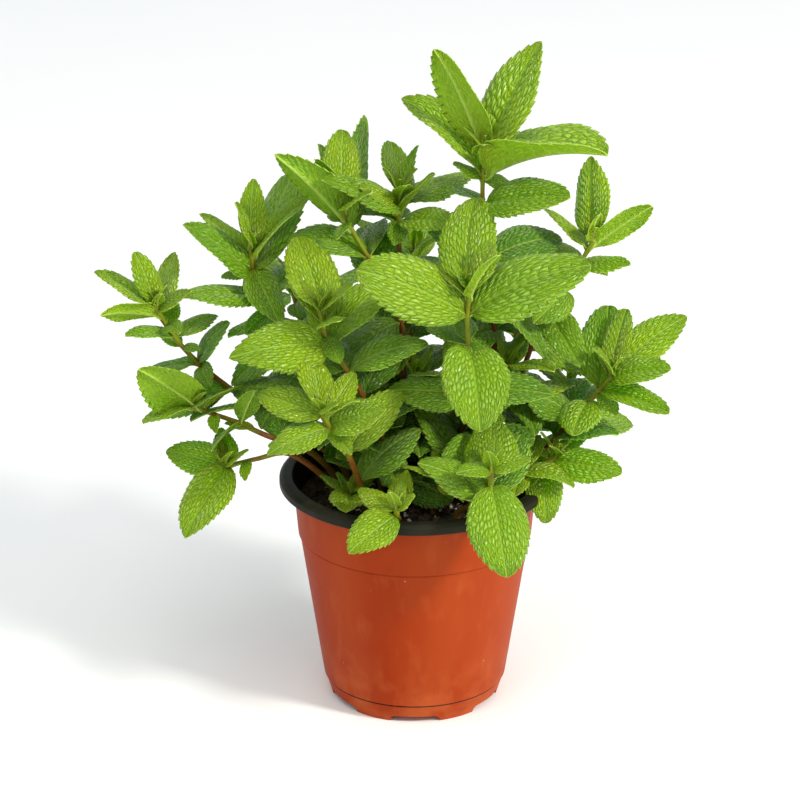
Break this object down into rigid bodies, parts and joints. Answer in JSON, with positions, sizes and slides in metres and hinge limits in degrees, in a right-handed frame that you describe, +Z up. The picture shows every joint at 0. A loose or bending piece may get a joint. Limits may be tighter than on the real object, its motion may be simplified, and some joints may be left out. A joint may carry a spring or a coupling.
{
  "type": "potted mint plant",
  "caption": "Leafy mint plant with many shoots, growing in a round tapered nursery pot with a rolled dark lip, filled with soil.",
  "frame": {"origin": "centre of the pot's base, on the surface that it stands on", "axes": "+Z up along the pot's axis, -Y the front, +X to the right seen from the front"},
  "size_m": [0.2587, 0.2028, 0.2963],
  "materials": {
    "pot": "satin terracotta moulded plastic with a near-black inner layer that shows on the lip",
    "soil": "moist dark peat with pale grains",
    "stem": "green to purple-brown, faintly hairy",
    "leaf": "fresh green, quilted between impressed veins"
  },
  "bodies": {
    "root": {"crown_far_left": "leaf", "crown_front_left": "leaf", "crown_front_middle": "leaf", "crown_front_right": "leaf", "crown_low_left": "leaf", "crown_low_middle": "leaf", "crown_low_right": "leaf", "crown_middle_left": "leaf", "crown_rear_left": "leaf", "crown_rear_middle": "leaf", "crown_rear_right": "leaf", "crown_right": "leaf", "crown_side_left": "leaf", "crown_tall": "leaf", "crown_top_left": "leaf", "crown_top_middle": "leaf", "crown_upper_left": "leaf", "crown_upper_right": "leaf", "leaf_pair_far_left_1": "leaf", "leaf_pair_far_left_2": "leaf", "leaf_pair_front_middle_1": "leaf", "leaf_pair_middle_left_1": "leaf", "leaf_pair_rear_left_1": "leaf", "leaf_pair_rear_middle_1": "leaf", "leaf_pair_rear_right_1": "leaf", "leaf_pair_right_1": "leaf", "leaf_pair_side_left_1": "leaf", "leaf_pair_tall_1": "leaf", "leaf_pair_top_middle_1": "leaf", "leaf_pair_upper_left_1": "leaf", "leaf_pair_upper_right_1": "leaf", "pot": "pot", "soil": "soil", "sprig_inner_left": "leaf", "sprig_inner_middle": "leaf", "sprig_inner_right": "leaf", "sprig_low_left": "leaf", "sprig_low_middle": "leaf", "sprig_low_right": "leaf", "sprig_rear_low": "leaf", "sprig_rear_low_right": "leaf", "stem_far_left": "stem", "stem_front_left": "stem", "stem_front_middle": "stem", "stem_front_right": "stem", "stem_low_left": "stem", "stem_low_middle": "stem", "stem_low_right": "stem", "stem_middle_left": "stem", "stem_rear_left": "stem", "stem_rear_middle": "stem", "stem_rear_right": "stem", "stem_right": "stem", "stem_side_left": "stem", "stem_tall": "stem", "stem_top_left": "stem", "stem_top_middle": "stem", "stem_upper_left": "stem", "stem_upper_right": "stem"}
  },
  "joints": []
}
